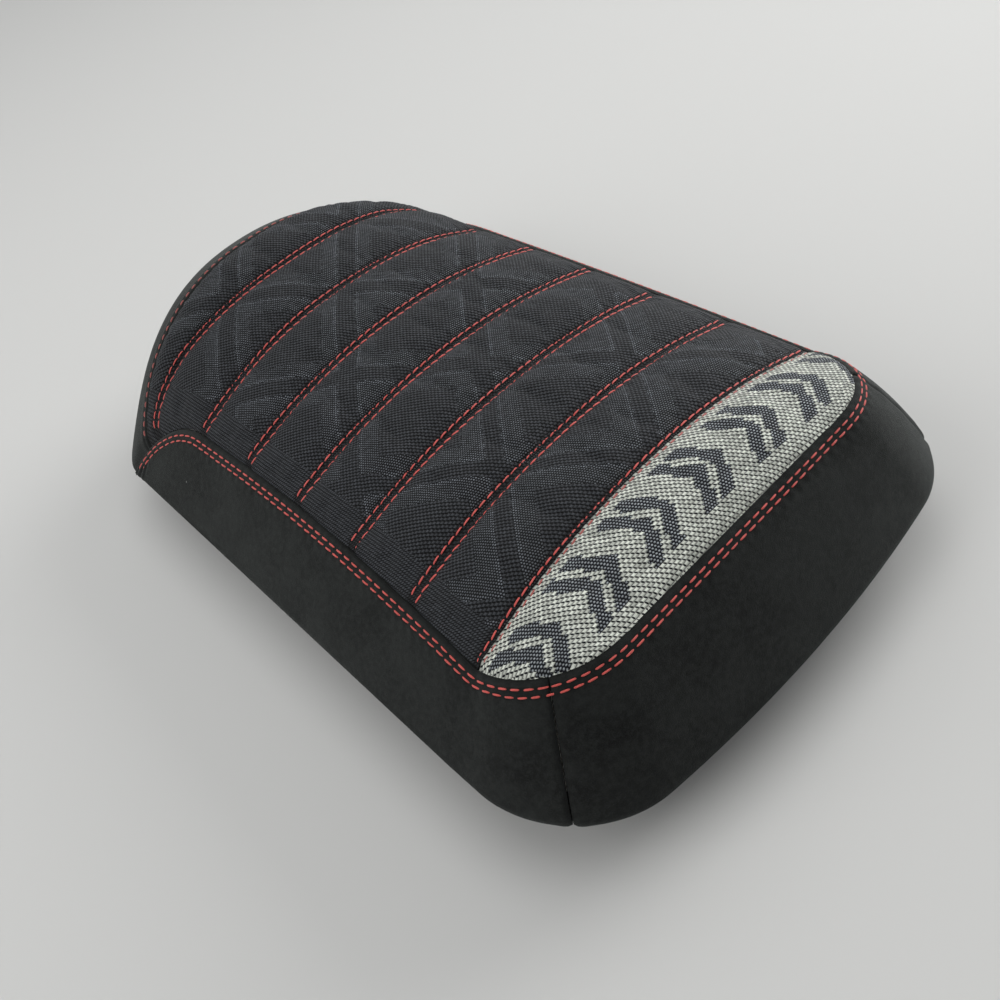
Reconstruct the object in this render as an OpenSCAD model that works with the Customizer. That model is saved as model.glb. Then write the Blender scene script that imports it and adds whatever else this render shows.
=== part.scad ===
// Solo saddle with a channelled top, an accent band at the tail and a ribbed base pan.
// Right-handed, millimetres, +Z up, +Y towards the nose. The stud tips stand on z = 0.

/* [Seat top] */
// Distance between two channel seams, measured along the top
channel_pitch = 38; // [30:1:46]
// Half width of the top panel at the accent band seam
top_half_rear = 97; // [85:1:110]
// Half width of the top panel half way along
top_half_mid = 90.5; // [80:0.5:105]
// Half width of the top panel at the nose
top_half_front = 91.5; // [80:0.5:105]
// Height of the side seam over the base edge, at the accent band seam
seam_height_rear = 36; // [28:1:50]
// Height of the side seam over the base edge, half way along
seam_height_mid = 37.5; // [28:0.5:50]
// Height of the side seam over the base edge, at the nose
seam_height_front = 29; // [22:1:45]
// Rise of the top over its side seams, at the accent band seam
crown_rear = 18.5; // [10:0.5:30]
// Rise of the top over its side seams, half way along
crown_mid = 13.5; // [8:0.5:30]
// Rise of the top over its side seams, at the nose
crown_front = 27; // [12:0.5:38]
// How far a channel seam bows forwards at the middle
seam_bow = 2.7; // [0:0.1:8]
// Depth of the accent band, which is also the radius of its corners
band_depth = 36; // [28:1:44]
// How much higher the tail seam runs than the side seams
tail_rise = 12; // [4:1:16]

/* [Nose] */
// Where the crown starts to roll down, from the accent band seam
nose_start = 243; // [230:1:260]
// Length of the crown's roll down to the base edge
nose_roll = 60; // [50:1:85]
// Where the side seam starts to run down, from the accent band seam
side_drop_start = 190; // [186:1:205]
// Length of the side seam's run down to the base edge
side_drop = 46; // [36:1:60]

/* [Base outline] */
// Half width of the base edge at the tail corners
base_half_rear = 121; // [112:1:132]
// Half width of the base edge where the side seams meet it
base_half_front = 117; // [108:1:130]
// Distance from the accent band seam back to the base edge at the tail
base_tail = 59.5; // [50:0.5:66]
// Extra length of the base edge at the middle of the tail
base_tail_bow = 12; // [0:1:18]
// Radius of the base edge at the tail corners
base_corner_radius = 43; // [30:1:60]

/* [Cover] */
// Height of a channel's pad over its seams
pad_height = 3.6; // [1:0.2:6]
// Height of the accent band's pad over its seams
band_pad_height = 2; // [0.5:0.5:4]
// Thickness of the woven top fabric with its backing
fabric_thickness = 1.5; // [0.8:0.1:2.5]
// Thickness of the suede side panels with their backing
suede_thickness = 1.2; // [0.8:0.1:2]
// Outward swell of the side panels
wall_swell = 4; // [1:0.5:10]
// Width of cover turned under the base edge
hem_width = 20; // [14:1:28]
// Radius of the turned edge
edge_roll = 3; // [2:0.5:5]

/* [Foam] */
// Thickness of the sewing foam under the seams of the top panel
sew_foam_thickness = 5; // [3:0.5:8]

/* [Base pan] */
// Wall thickness of the pan
pan_wall = 3; // [2:0.5:4]
// Width of the flange that the cover is stapled to
flange_width = 24; // [18:1:32]
// Depth of the ribbed underside
rib_depth = 4; // [2:0.5:4]
// Thickness of a rib
rib_thickness = 2.2; // [1.5:0.1:3]
// Longest distance between two ribs
rib_pitch = 34; // [24:1:38]

/* [Fixings] */
// Distance between the studs across the seat
stud_spacing_x = 110; // [80:5:130]
// Distance between the studs along the seat
stud_spacing_y = 140; // [120:5:170]
// Shank radius of a stud
stud_radius = 4; // [3:0.5:5]
// Length of stud that stands out under the base edge
stud_reach = 27; // [18:1:36]
// Radius of a rubber buffer
buffer_radius = 11; // [8:0.5:14]
// Height of a rubber buffer under the base edge
buffer_height = 11; // [6:0.5:14]
// Distance between the buffers across the seat
buffer_spacing_x = 124; // [100:2:130]
// Distance between the buffers along the seat
buffer_spacing_y = 200; // [190:5:215]
// Distance between two staples round the flange
staple_pitch = 24; // [16:1:40]

/* [Hidden] */
clear = 0.3;
seam_gap = 1.2;
crown_power = 2.2;
nose_power = 2.4;
side_power = 1.7;
plan_power = 2.2;
plan_round = 0.7;
pad_power = 2.5;
pad_fade = 6;
first_nose_row = 0.25;
nose_pad_share = 0.31;
front_seam_row = first_nose_row + (1 - first_nose_row) * nose_pad_share;
lap_row = 0.008;
band_lap_row = 0.015;
rear_lap_row = 0.01;
foam_edge = 0.965;
core_edge = 0.985;
full_channels = 5;
rows_per_channel = 4;
nose_rows = 9;
band_rows = 6;
columns = 14;
span = 3 * channel_pitch;
last_seam = full_channels * channel_pitch;
nose_end = nose_start + seam_bow + nose_roll;
corner_y = side_drop_start + side_drop;
tail_y = -base_tail - base_tail_bow;
y_mid = (nose_end + tail_y) / 2;
z_base = stud_reach;

// Height levels over the base edge
flange_z = fabric_thickness + clear;
floor_z = flange_z + rib_depth;
floor_top = floor_z + pan_wall;
foam_bottom = flange_z + pan_wall + clear;

// Value at y of the curve through its rear, middle and front values
function through(y, a, b, c) = a * (y - span) * (y - 2 * span) / (2 * span * span)
    - b * y * (y - 2 * span) / (span * span) + c * y * (y - span) / (2 * span * span);
function top_half(y) = through(y, top_half_rear, top_half_mid, top_half_front);
function seam_z(y) = through(y, seam_height_rear, seam_height_mid, seam_height_front);
function crown(y) = through(y, crown_rear, crown_mid, crown_front);
function mix(a, b, f) = a + (b - a) * f;
function clamp(v, lo, hi) = min(max(v, lo), hi);

// Distance along a list of points, one value per point
function run(p) = [for (i = 0, s = 0; i < len(p); s = s + (i + 1 < len(p) ? norm(p[i + 1] - p[i]) : 0), i = i + 1) s];

// Side views of the nose: the middle of the crown and the side seam, from the last straight seam down
arc_steps = 24;
function quarter(y0, z0, length, power) = [for (i = [0:arc_steps])
    let (a = 90 * i / arc_steps)
    [y0 + length * pow(sin(a), 2 / power), z0 * pow(max(cos(a), 0), 2 / power)]];
lead = [for (i = [0:5]) mix(last_seam, nose_start, i / 6)];
crown_line = concat([for (y = lead) [y + seam_bow, seam_z(y) + crown(y)]],
    quarter(nose_start + seam_bow, seam_z(nose_start) + crown(nose_start), nose_roll, nose_power));
side_line = concat([[last_seam - 0.01, seam_z(last_seam)]],
    quarter(side_drop_start, seam_z(side_drop_start), side_drop, side_power));
crown_run = run(crown_line);
side_run = run(side_line);
crown_length = crown_run[len(crown_run) - 1];
side_length = side_run[len(side_run) - 1];
crown_y = [for (i = [0:len(crown_line) - 1]) [crown_run[i], crown_line[i][0]]];
crown_z = [for (i = [0:len(crown_line) - 1]) [crown_run[i], crown_line[i][1]]];
side_y = [for (i = [0:len(side_line) - 1]) [side_run[i], side_line[i][0]]];
side_z = [for (i = [0:len(side_line) - 1]) [side_run[i], side_line[i][1]]];

// Length of fabric from the last straight seam down to the base edge, at column s
function nose_length(s) = mix(crown_length, side_length, s * s);
// Fabric distance on the nose for row fraction f: straight to the first nose seam, then spread to the base edge
function nose_run(f, s) = f < first_nose_row ? channel_pitch * f / first_nose_row
    : mix(channel_pitch, nose_length(s), (f - first_nose_row) / (1 - first_nose_row));
function plan_fall(s) = 1 - pow(max(1 - pow(abs(s), plan_power), 0), plan_round);

// Half width of the base edge
function base_half(y) = mix(base_half_rear, base_half_front, clamp(y / corner_y, 0, 1));

// Point on the seam surface. Rows: -1 to 0 accent band, 0 to 5 channels, 5 to 6 nose. Columns: -1 to 1.
function band_point(row, s) = let (c = -sin(90 * row), half = top_half(0) - band_depth + band_depth * cos(90 * row),
        edge = seam_z(0) + tail_rise * c,
        ridge = seam_z(0) + tail_rise + (crown(0) - tail_rise) * (1 - pow(c, crown_power)))
    [half * s, -band_depth * c + seam_bow * (1 - s * s) * (1 - c), mix(ridge, edge, pow(abs(s), crown_power))];
function channel_point(y, s) = [top_half(y) * s, y + seam_bow * (1 - s * s),
    seam_z(y) + crown(y) * (1 - pow(abs(s), crown_power))];
function nose_point(f, s) = let (u = nose_run(f, s) / nose_length(s), yc = lookup(u * side_length, side_y),
        half = mix(top_half(last_seam), base_half(corner_y), u * u))
    [half * s, mix(lookup(u * crown_length, crown_y), yc, plan_fall(s)),
     mix(lookup(u * crown_length, crown_z), lookup(u * side_length, side_z), pow(abs(s), crown_power))];
function seat_point(row, s) = row < 0 ? band_point(row, s)
    : row <= full_channels ? channel_point(row * channel_pitch, s)
    : nose_point(row - full_channels, s);

// Height of the pads over the seam surface
function bump(f) = 1 - pow(abs(2 * f - 1), pad_power);
function pad_edge(s) = 1 - pow(abs(s), pad_fade);
function nose_pad(f) = f < first_nose_row ? bump(f / first_nose_row)
    : f < front_seam_row ? bump((f - first_nose_row) / (front_seam_row - first_nose_row)) : 0;
function pad(row, s) = pad_edge(s) * (row < 0 ? band_pad_height * bump(-sin(90 * row))
    : row <= full_channels ? pad_height * bump(row - floor(row))
    : pad_height * nose_pad(row - full_channels));

// Base edge under row and column
function base_point(row, s) = let (r = base_corner_radius, flat = base_half_rear - r, side = s < 0 ? -1 : 1)
    row <= -1 ? [flat * s, -base_tail - base_tail_bow * (1 - pow(flat * s / base_half_rear, 2)), 0]
    : row < 0 ? let (x = flat + r * cos(90 * row))
        [side * x, -base_tail + r * (1 + sin(90 * row)) - base_tail_bow * (1 - pow(x / base_half_rear, 2)), 0]
    : let (y0 = r - base_tail, y = mix(y0, corner_y, clamp(seat_point(row, s)[1] / corner_y, 0, 1)))
        [side * base_half(y), y, 0];

// Sheets: a grid of points, its normals, and the closed solid between two offsets from it
function normal(g, i, j) = let (n = len(g) - 1, m = len(g[0]) - 1,
        a = g[min(i + 1, n)][j] - g[max(i - 1, 0)][j],
        b = g[i][min(j + 1, m)] - g[i][max(j - 1, 0)],
        c = cross(b, a))
    c / max(norm(c), 0.0001);
function offset_grid(g, d) = [for (i = [0:len(g) - 1]) [for (j = [0:len(g[0]) - 1])
    g[i][j] + normal(g, i, j) * d[i][j]]];
function even(g, d) = [for (r = g) [for (p = r) d]];
function flat_list(g) = [for (r = g) each r];
function quads(n, m, base, turn) = [for (i = [0:n - 2]) for (j = [0:m - 2])
    let (a = base + i * m + j, b = a + 1, c = a + m + 1, d = a + m)
    each (turn ? [[a, b, c], [a, c, d]] : [[c, b, a], [d, c, a]])];
function rim(loop, k) = [for (i = [0:len(loop) - 1])
    let (a = loop[i], b = loop[(i + 1) % len(loop)])
    each [[a, b, b + k], [a, b + k, a + k]]];
function border(n, m) = concat([for (j = [0:m - 1]) j], [for (i = [1:n - 1]) i * m + m - 1],
    [for (j = [m - 2:-1:0]) (n - 1) * m + j], [for (i = [n - 2:-1:1]) i * m]);

module sheet(upper, lower) {
    n = len(upper);
    m = len(upper[0]);
    polyhedron(points = concat(flat_list(upper), flat_list(lower)),
        faces = concat(quads(n, m, 0, false), quads(n, m, n * m, true), rim(border(n, m), n * m)));
}

// Columns run closer together towards the sides, where the cover turns down
column_list = [for (j = [0:columns]) let (a = 2 * j / columns - 1) a * (1.25 - 0.25 * a * a)];
channel_rows = [for (i = [0:full_channels * rows_per_channel]) i / rows_per_channel];
nose_row_list = concat([for (i = [1:rows_per_channel]) full_channels + first_nose_row * i / rows_per_channel],
    [for (i = [1:rows_per_channel]) full_channels + mix(first_nose_row, front_seam_row, i / rows_per_channel)]);
nose_panel_rows = [for (i = [0:nose_rows]) full_channels + mix(front_seam_row + lap_row, 1, i / nose_rows)];

function grid(rows, edge) = [for (r = rows) [for (s = column_list) seat_point(r, s * edge)]];
function pads(rows, edge, lift) = [for (r = rows) [for (s = column_list) pad(r, s * edge) + lift]];

// Turns the front end of the top panel under the base edge
function turned(g, inset, level) = let (last = g[len(g) - 1])
    [for (j = [0:columns]) let (a = 90 * column_list[j], p = last[j])
        [p[0] - inset * sin(a), p[1] - inset * cos(a), level]];

module top_panel() {
    rows = concat(channel_rows, nose_row_list);
    g = grid(rows, 1);
    color("#26282c")
        sheet(offset_grid(g, pads(rows, 1, 0)), offset_grid(g, pads(rows, 1, -fabric_thickness)));
}

module nose_panel() {
    g = grid(nose_panel_rows, 1);
    inner = offset_grid(g, even(g, -suede_thickness));
    lift = [for (r = inner) [for (p = r) [p[0], p[1], max(p[2], suede_thickness)]]];
    color("#1c1e1d")
        sheet(concat(g, [turned(g, hem_width, 0)]),
            concat(lift, [turned(lift, hem_width - suede_thickness, suede_thickness)]));
}

module accent_band() {
    rows = [for (i = [0:band_rows]) -1 + i / band_rows - (i == band_rows ? band_lap_row : 0)];
    g = grid(rows, 1);
    color("#9b9f9a")
        sheet(offset_grid(g, pads(rows, 1, 0)), offset_grid(g, pads(rows, 1, -fabric_thickness)));
}

module sewing_foam() {
    rows = concat([for (i = [1:2:band_rows - 1]) -1 + i / band_rows], channel_rows,
        nose_row_list, [for (i = [1:nose_rows - 5]) nose_panel_rows[i]]);
    g = grid(rows, foam_edge);
    skin = -fabric_thickness - 2 * clear;
    color("#d8d2b8")
        sheet(offset_grid(g, pads(rows, foam_edge, skin)), offset_grid(g, even(g, skin - sew_foam_thickness)));
}

// Side and tail panels: stations run round the seat, each from the seam down the wall and under the edge
wall_steps = 6;
roll_steps = 2;
swell_place = 0.42;
swell_out = 0.62;
swell_up = 0.78;
function swell_point(e, b, v) = let (d = b - e, out = norm([d[0], d[1]]), h = [d[0], d[1], 0] / max(out, 0.001),
        lift = wall_swell * min(norm(d) / (seam_height_rear + tail_rise), 1),
        k = e + d * swell_place + (h * swell_out + [0, 0, swell_up]) * lift)
    e * (1 - v) * (1 - v) + k * 2 * v * (1 - v) + b * v * v;
function inward(row, s) = row <= -1 ? [0, 1, 0]
    : row < 0 ? [-sign(s) * cos(90 * row), -sin(90 * row), 0]
    : [-sign(s), 0, 0];
function wall_section(row, s) = let (e0 = seat_point(row, s), n = inward(row, s), e = e0 - n * seam_gap,
        b0 = base_point(row, s), b = b0 + [0, 0, min(edge_roll, e[2] * 0.5)],
        r = b[2])
    concat([for (k = [0:wall_steps]) swell_point(e, b, k / wall_steps)],
        [for (k = [1:roll_steps]) let (a = 90 * k / roll_steps) b + n * r * (1 - cos(a)) - [0, 0, r * sin(a)]],
        [b + n * hem_width - [0, 0, r]]);
function wall_grid(stations) = [for (p = stations) wall_section(p[0], p[1])];

module panel(stations) {
    g = wall_grid(stations);
    color("#1c1e1d")
        sheet(offset_grid(g, even(g, suede_thickness)), g);
}

corner_seam = 0.5;
side_steps = 10;
drop_rows = [0.1, 0.19, 0.27, 0.48, 0.7, 0.88];
tail_steps = 8;
corner_steps = 4;
side_rows = concat(
    [for (i = [0:corner_steps]) (rear_lap_row - corner_seam) * (1 - i / corner_steps)],
    [for (i = [1:side_steps]) full_channels * i / side_steps],
    [for (f = drop_rows) full_channels + f]);

module side_panel_left() {
    panel([for (r = side_rows) [r, -1]]);
}

module side_panel_right() {
    mirror([1, 0, 0])
        side_panel_left();
}

module tail_panel() {
    panel(concat([for (i = [corner_steps:-1:1]) [-1 + corner_seam * i / corner_steps - rear_lap_row, 1]],
        [for (i = [tail_steps:-1:0]) [-1, 2 * i / tail_steps - 1]],
        [for (i = [1:corner_steps]) [-1 + corner_seam * i / corner_steps - rear_lap_row, -1]]));
}

// Outline of the base edge, moved inwards by d
nose_sides = 28;
corner_sides = 8;
function base_outline(d) = concat(
    [for (i = [0:tail_steps]) let (x = mix(-1, 1, i / tail_steps) * (base_half_rear - base_corner_radius))
        [x, tail_y + d + base_tail_bow * pow(x / base_half_rear, 2)]],
    [for (i = [1:corner_sides]) outline_corner(90 * i / corner_sides, d)],
    [for (i = [0:nose_sides]) let (s = cos(180 * i / nose_sides))
        [s * (base_half_front - d), mix(nose_end - d, corner_y - 2 * d, plan_fall(s))]],
    [for (i = [corner_sides:-1:1]) let (p = outline_corner(90 * i / corner_sides, d)) [-p[0], p[1]]]);
function outline_corner(a, d) = let (r = base_corner_radius - d, x = base_half_rear - d - r + r * sin(a))
    [x, d - base_tail + r * (1 - cos(a)) - base_tail_bow * (1 - pow((x + d * sin(a)) / base_half_rear, 2))];

module slab(d, z0, z1) {
    translate([0, 0, z0])
        linear_extrude(height = z1 - z0)
            polygon(base_outline(d));
}

pan_inset = edge_roll + suede_thickness + 2;
pan_floor_inset = pan_inset + flange_width;
stud_head = [9, 2];
stud_shoulder = stud_radius + 0.6;
boss_radius = 12.5;
buffer_stem = 4;
grommet_bore = 5;
grommet_x = rib_pitch / 2;
strap_width = 24;
strap_thickness = 3;
rivet_inset = 22;
rivet_radius = 2;
rivet_head_radius = 3.8;
rivet_x = stud_spacing_x / 2 - rivet_inset;
stud_y = [y_mid - stud_spacing_y / 2, y_mid + stud_spacing_y / 2];
buffer_y = [y_mid - buffer_spacing_y / 2, y_mid + buffer_spacing_y / 2];
fit = 0.25;

module at_studs() {
    for (x = [-1, 1], y = stud_y)
        translate([x * stud_spacing_x / 2, y, 0])
            children();
}

module at_rivets() {
    for (x = [-1, 1], y = stud_y)
        translate([x * rivet_x, y, 0])
            children();
}

rib_x = [for (i = [-2:2]) i * rib_pitch];
rib_first = tail_y + pan_floor_inset;
rib_room = nose_end - pan_floor_inset - rib_first;
rib_count = ceil(rib_room / rib_pitch);
grommet_y = rib_first + (floor(rib_count / 2) + 0.5) * rib_room / rib_count;

module ribs() {
    for (x = rib_x)
        translate([x - rib_thickness / 2, rib_first - 2, flange_z])
            cube([rib_thickness, rib_room + 4, rib_depth + 1]);
    for (i = [1:rib_count - 1])
        translate([-base_half_rear, rib_first + i * rib_room / rib_count - rib_thickness / 2, flange_z])
            cube([2 * base_half_rear, rib_thickness, rib_depth + 1]);
}

module base_pan() {
    color("#17181a")
        difference() {
            union() {
                difference() {
                    slab(pan_inset, flange_z, flange_z + pan_wall);
                    slab(pan_floor_inset - 2, flange_z - 1, flange_z + pan_wall + 1);
                }
                slab(pan_floor_inset - pan_wall, floor_z, floor_top);
                difference() {
                    slab(pan_floor_inset - pan_wall, flange_z, floor_top);
                    slab(pan_floor_inset, flange_z - 1, floor_top + 1);
                }
                intersection() {
                    slab(pan_floor_inset - 1, flange_z, floor_top);
                    ribs();
                }
                for (x = [-1, 1], y = buffer_y)
                    translate([x * buffer_spacing_x / 2, y, flange_z])
                        cylinder(r = boss_radius, h = rib_depth + 1);
            }
            for (y = stud_y)
                translate([-stud_spacing_x / 2 - strap_width / 2 - 2, y - strap_width / 2 - 1, flange_z - 1])
                    cube([stud_spacing_x + strap_width + 4, strap_width + 2, rib_depth + 1]);
            at_studs()
                translate([0, 0, floor_z - 1])
                    cylinder(r = stud_shoulder + fit, h = pan_wall + 2);
            at_studs()
                translate([0, 0, floor_top - stud_head[1] - 0.1])
                    cylinder(r = stud_head[0] + fit, h = stud_head[1] + 1);
            at_rivets()
                translate([0, 0, floor_z - 1])
                    cylinder(r = rivet_radius + fit / 2, h = pan_wall + 2);
            at_rivets()
                translate([0, 0, floor_top - 1.4])
                    cylinder(r = rivet_head_radius + 0.4, h = 2);
            for (x = [-1, 1], y = buffer_y)
                translate([x * buffer_spacing_x / 2, y, flange_z - 1])
                    cylinder(r = buffer_stem + fit / 2, h = rib_depth + pan_wall + 2);
            for (x = [-1, 1])
                translate([x * grommet_x, grommet_y, floor_z - 1])
                    cylinder(r = grommet_bore + fit / 2, h = pan_wall + 2);
        }
}

// Foam core: the seam surface moved in under the sewing foam, closed down the walls to the pan
core_band_rows = 3;
core_rows = concat([for (i = [0:core_band_rows]) -1 + i / (core_band_rows + 1)],
    [for (i = [0:full_channels]) i], [for (i = [1:9]) full_channels + i * 0.095]);
core_columns = [for (j = [0:10]) let (a = j / 5 - 1) a * (1.25 - 0.25 * a * a)];
core_skin = fabric_thickness + sew_foam_thickness + 6 * clear;
core_shelf = foam_bottom + 1.2;

module foam_core() {
    g = [for (r = core_rows) [for (s = core_columns) seat_point(r, s * core_edge)]];
    top = [for (r = offset_grid(g, even(g, -core_skin))) [for (p = r) [p[0], p[1], max(p[2], core_shelf)]]];
    n = len(top);
    m = len(top[0]);
    loop = border(n, m);
    points = flat_list(top);
    stations = [for (k = loop) [core_rows[floor(k / m)], core_columns[k % m]]];
    ring = [for (i = [0:len(loop) - 1])
        let (p = points[loop[i]], r = stations[i][0], s = stations[i][1],
            open = r > -1 && abs(s) < 0.99,
            w = wall_section(max(r, -1), open ? 1 : s), mid = w[3] + inward(r, s) * 4)
        open ? [p[0], p[1], mix(p[2], foam_bottom, 0.5)]
        : [mid[0], mid[1], clamp(mid[2] - 2, mix(foam_bottom, p[2], 0.3), mix(foam_bottom, p[2], 0.7))]];
    foot = [for (i = [0:len(loop) - 1])
        let (p = points[loop[i]], r = stations[i][0], s = stations[i][1], open = r > -1 && abs(s) < 0.99,
            b = base_point(max(r, -1), s) + inward(r, s) * (edge_roll + 3))
        [open ? p[0] * 0.995 : b[0], open ? p[1] - 1.5 : b[1], foam_bottom]];
    k0 = n * m;
    c = len(loop);
    color("#d9d6cd")
        difference() {
            polyhedron(points = concat(points, ring, foot),
                faces = concat(quads(n, m, 0, false),
                    [for (i = [0:c - 1]) let (a = loop[i], b = loop[(i + 1) % c], p = k0 + i, q = k0 + (i + 1) % c)
                        each [[a, b, q], [a, q, p]]],
                    [for (i = [0:c - 1]) let (a = k0 + i, b = k0 + (i + 1) % c) each [[a, b, b + c], [a, b + c, a + c]]],
                    [[for (i = [0:c - 1]) k0 + c + i]]));
            slab(pan_floor_inset - pan_wall - 2 * clear, foam_bottom - 2, floor_top + clear);
        }
}

module strap(y) {
    color("#8d9196")
        difference() {
            translate([0, y, floor_z - strap_thickness])
                union() {
                    translate([-stud_spacing_x / 2, -strap_width / 2, 0])
                        cube([stud_spacing_x, strap_width, strap_thickness]);
                    for (x = [-1, 1])
                        translate([x * stud_spacing_x / 2, 0, 0])
                            cylinder(r = strap_width / 2, h = strap_thickness);
                }
            for (x = [-1, 1]) {
                translate([x * stud_spacing_x / 2, y, floor_z - strap_thickness - 1])
                    cylinder(r = stud_shoulder + fit / 2, h = strap_thickness + 2);
                translate([x * rivet_x, y, floor_z - strap_thickness - 1])
                    cylinder(r = rivet_radius + fit / 2, h = strap_thickness + 2);
            }
        }
}

module strap_front() {
    strap(stud_y[1]);
}

module strap_rear() {
    strap(stud_y[0]);
}

module mounting_studs() {
    tip = 1;
    color("#b9bcc0")
        at_studs() {
            translate([0, 0, floor_top - stud_head[1] - 0.1])
                cylinder(r = stud_head[0], h = stud_head[1]);
            translate([0, 0, floor_z - strap_thickness])
                cylinder(r = stud_shoulder, h = strap_thickness + pan_wall - stud_head[1]);
            translate([0, 0, tip - stud_reach])
                cylinder(r = stud_radius, h = floor_z - strap_thickness + stud_reach - tip);
            translate([0, 0, -stud_reach])
                cylinder(r1 = stud_radius - tip, r2 = stud_radius, h = tip);
        }
}

module strap_rivets() {
    color("#a9acb0")
        at_rivets() {
            translate([0, 0, floor_z - strap_thickness - 1.2])
                cylinder(r1 = rivet_radius + 0.6, r2 = rivet_head_radius, h = 1.2);
            translate([0, 0, floor_z - strap_thickness - 0.1])
                cylinder(r = rivet_radius, h = strap_thickness + pan_wall - 0.5);
            translate([0, 0, floor_top - 1.4])
                cylinder(r1 = rivet_head_radius, r2 = rivet_radius + 1, h = 1.1);
        }
}

module buffer(x, y) {
    color("#202122")
        translate([x * buffer_spacing_x / 2, buffer_y[y], 0]) {
            translate([0, 0, -buffer_height])
                rotate_extrude()
                    polygon([[0, 2], [3, 2], [4, 0], [buffer_radius - 1.5, 0], [buffer_radius - 0.4, 0.5],
                        [buffer_radius, 2], [buffer_radius, 5], [buffer_radius - 1, 6],
                        [buffer_radius - 1, buffer_height + flange_z], [0, buffer_height + flange_z]]);
            cylinder(r = buffer_stem, h = floor_top - 0.5);
        }
}

module buffer_front_left() {
    buffer(-1, 1);
}

module buffer_front_right() {
    buffer(1, 1);
}

module buffer_rear_left() {
    buffer(-1, 0);
}

module buffer_rear_right() {
    buffer(1, 0);
}

module grommet(x) {
    color("#2a2b2c")
        translate([x * grommet_x, grommet_y, floor_z])
            rotate_extrude()
                polygon([[3, -1.4], [7.4, -1.4], [8, -0.8], [8, 0], [grommet_bore, 0], [grommet_bore, pan_wall - 0.1],
                    [3, pan_wall - 0.1]]);
}

module grommet_left() {
    grommet(-1);
}

module grommet_right() {
    grommet(1);
}

// Staple crowns round the turned edge
staple_size = [11, 1.2, 0.6];
staple_inset = edge_roll + 9;

module cover_staples() {
    line = base_outline(staple_inset);
    loop = concat(line, [line[0]]);
    dist = run(loop);
    total = dist[len(dist) - 1];
    count = round(total / staple_pitch);
    xs = [for (i = [0:len(loop) - 1]) [dist[i], loop[i][0]]];
    ys = [for (i = [0:len(loop) - 1]) [dist[i], loop[i][1]]];
    color("#b4b6b8")
        for (i = [0:count - 1]) {
            d = (i + 0.5) * total / count;
            a = [lookup(d - 4, xs), lookup(d - 4, ys)];
            b = [lookup(d + 4, xs), lookup(d + 4, ys)];
            translate([(a[0] + b[0]) / 2, (a[1] + b[1]) / 2, -clear - staple_size[2]])
                rotate([0, 0, atan2(b[1] - a[1], b[0] - a[0])])
                    translate([-staple_size[0] / 2, -staple_size[1] / 2, 0])
                        cube(staple_size);
        }
}

module placed() {
    translate([0, -y_mid, z_base])
        children();
}

placed() base_pan();
placed() foam_core();
placed() sewing_foam();
placed() top_panel();
placed() accent_band();
placed() side_panel_left();
placed() side_panel_right();
placed() tail_panel();
placed() nose_panel();
placed() strap_front();
placed() strap_rear();
placed() mounting_studs();
placed() strap_rivets();
placed() buffer_front_left();
placed() buffer_front_right();
placed() buffer_rear_left();
placed() buffer_rear_right();
placed() grommet_left();
placed() grommet_right();
placed() cover_staples();
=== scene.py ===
"""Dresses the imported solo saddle: woven top and band, suede panels, topstitching, foam and hardware."""

import math

import bpy
import numpy as np
from mathutils import Matrix, Vector
from mathutils.bvhtree import BVHTree

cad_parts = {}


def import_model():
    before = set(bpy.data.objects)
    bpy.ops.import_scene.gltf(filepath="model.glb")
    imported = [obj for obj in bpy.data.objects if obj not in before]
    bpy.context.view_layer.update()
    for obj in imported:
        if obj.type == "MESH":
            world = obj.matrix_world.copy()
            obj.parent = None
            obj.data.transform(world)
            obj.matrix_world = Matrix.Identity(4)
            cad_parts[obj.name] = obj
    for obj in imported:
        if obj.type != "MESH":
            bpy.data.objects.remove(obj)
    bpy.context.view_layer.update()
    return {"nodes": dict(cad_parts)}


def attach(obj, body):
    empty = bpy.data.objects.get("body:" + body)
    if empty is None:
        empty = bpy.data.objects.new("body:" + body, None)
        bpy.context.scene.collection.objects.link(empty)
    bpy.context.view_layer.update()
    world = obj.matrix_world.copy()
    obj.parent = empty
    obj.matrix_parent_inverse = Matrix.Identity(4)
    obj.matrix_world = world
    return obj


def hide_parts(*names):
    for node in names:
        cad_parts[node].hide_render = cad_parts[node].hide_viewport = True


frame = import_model()
rng = np.random.default_rng(7)

# The seat's driving sizes, in millimetres, as in the part's source.
# y = 0 is the band seam and z = 0 the base edge.
PITCH = 38.0
SPAN = 3 * PITCH
TOP_HALF = (97.0, 90.5, 91.5)
SEAM_Z = (36.0, 37.5, 29.0)
CROWN = (18.5, 13.5, 27.0)
SEAM_BOW = 2.7
BAND_DEPTH = 36.0
TAIL_RISE = 12.0
NOSE_START, NOSE_ROLL = 243.0, 60.0
SIDE_DROP_START, SIDE_DROP = 190.0, 46.0
BASE_HALF_REAR, BASE_HALF_FRONT = 121.0, 117.0
BASE_TAIL, BASE_TAIL_BOW = 59.5, 12.0
BASE_CORNER = 43.0
PAD, BAND_PAD = 3.6, 2.0
FABRIC, SUEDE = 1.5, 1.2
WALL_SWELL, SWELL_PLACE, SWELL_OUT, SWELL_UP = 4.0, 0.42, 0.62, 0.78
HEM = 20.0
EDGE_ROLL = 3.0
CROWN_POWER, NOSE_POWER, SIDE_POWER = 2.2, 2.4, 1.7
PLAN_POWER, PLAN_ROUND = 2.2, 0.7
PAD_POWER, PAD_FADE = 2.5, 6
CHANNELS = 5
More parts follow.
